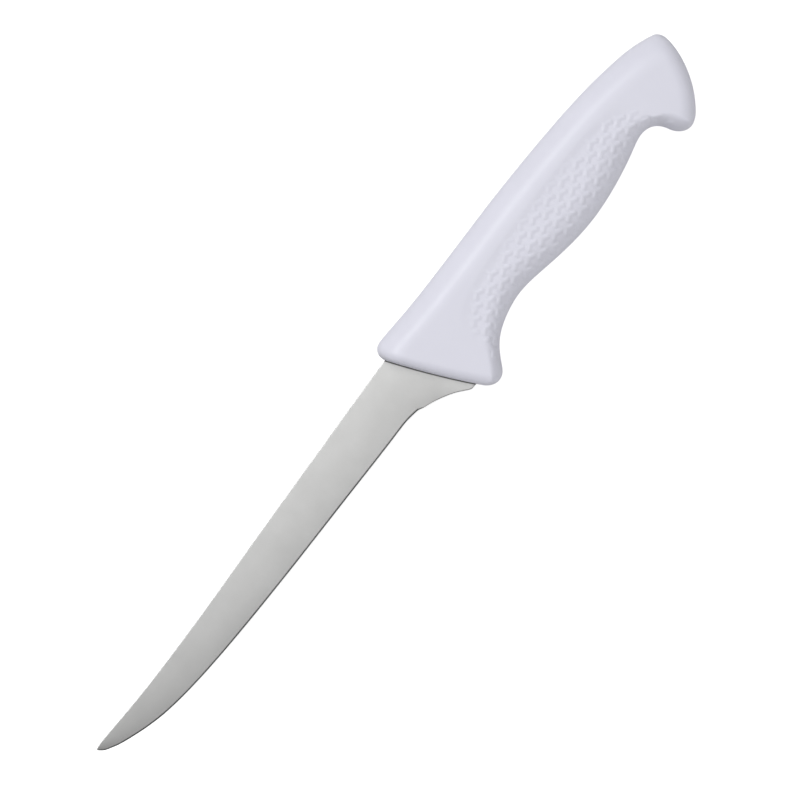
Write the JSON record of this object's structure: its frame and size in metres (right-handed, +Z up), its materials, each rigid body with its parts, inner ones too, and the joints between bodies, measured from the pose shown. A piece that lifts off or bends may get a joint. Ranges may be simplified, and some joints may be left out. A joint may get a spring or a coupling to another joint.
{
  "type": "boning knife",
  "caption": "Boning knife: slim upswept satin blade with a shallow heel, fixed in a white moulded grip with guard, textured panel and hooked pommel.",
  "frame": {"origin": "centre of the bounding box at its lowest face, on the surface the knife lies on", "axes": "+X from the blade's tip to the pommel, +Y from the cutting edge to the spine, +Z up through the knife's thickness"},
  "size_m": [0.2854, 0.0384, 0.021],
  "materials": {
    "blade_steel": "satin, fine lengthwise grain, ground bevel along the edge",
    "core_plastic": "plain natural moulding, hidden",
    "handle_plastic": "fine matte moulded, cool white"
  },
  "bodies": {
    "root": {"blade": "blade_steel", "handle_core": "core_plastic", "handle_skin": "handle_plastic"}
  },
  "joints": []
}
